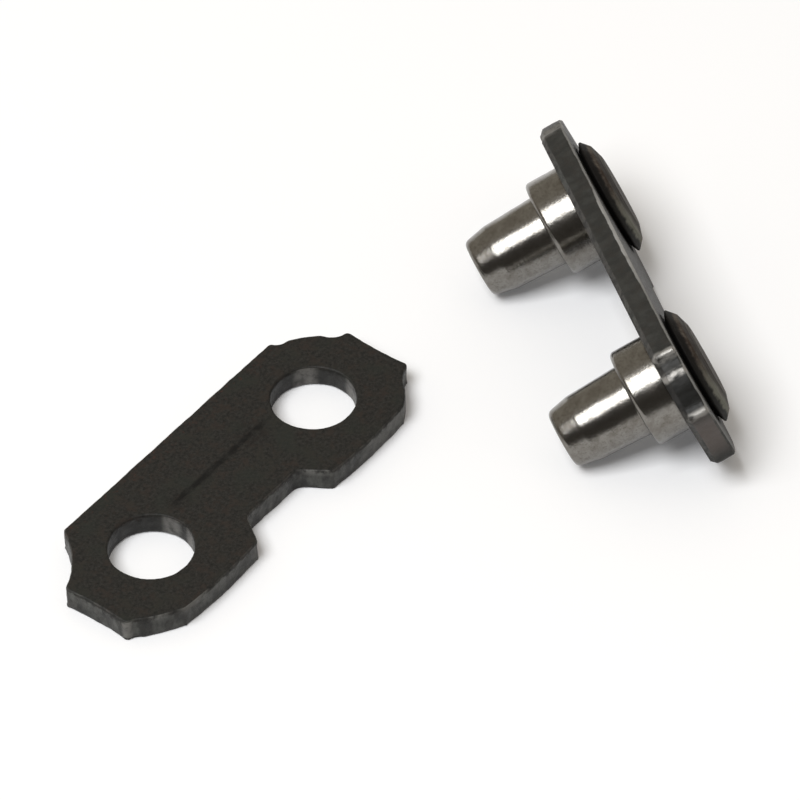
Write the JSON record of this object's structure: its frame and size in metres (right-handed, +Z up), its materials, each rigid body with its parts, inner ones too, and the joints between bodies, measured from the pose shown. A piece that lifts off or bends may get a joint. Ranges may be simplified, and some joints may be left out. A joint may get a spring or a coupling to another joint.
{
  "type": "saw chain connecting link",
  "caption": "Connecting link for a saw chain before riveting: a loose notched tie strap, and a tie strap with stepped rivets fixed in it.",
  "frame": {"origin": "half way between the loose strap's holes, on its underside", "axes": "+X along the loose strap, +Y towards its straight edge, +Z up from the plane that both pieces rest on"},
  "size_m": [0.03, 0.0187, 0.0062],
  "materials": {
    "strap_steel": "dark blackened spring steel, matte, lighter on the sheared edges",
    "rivet_steel": "bright turned steel, lightly satin"
  },
  "bodies": {
    "root": {"loose_strap": "strap_steel", "riveted_strap": "strap_steel", "near_rivet": "rivet_steel", "far_rivet": "rivet_steel"}
  },
  "joints": []
}
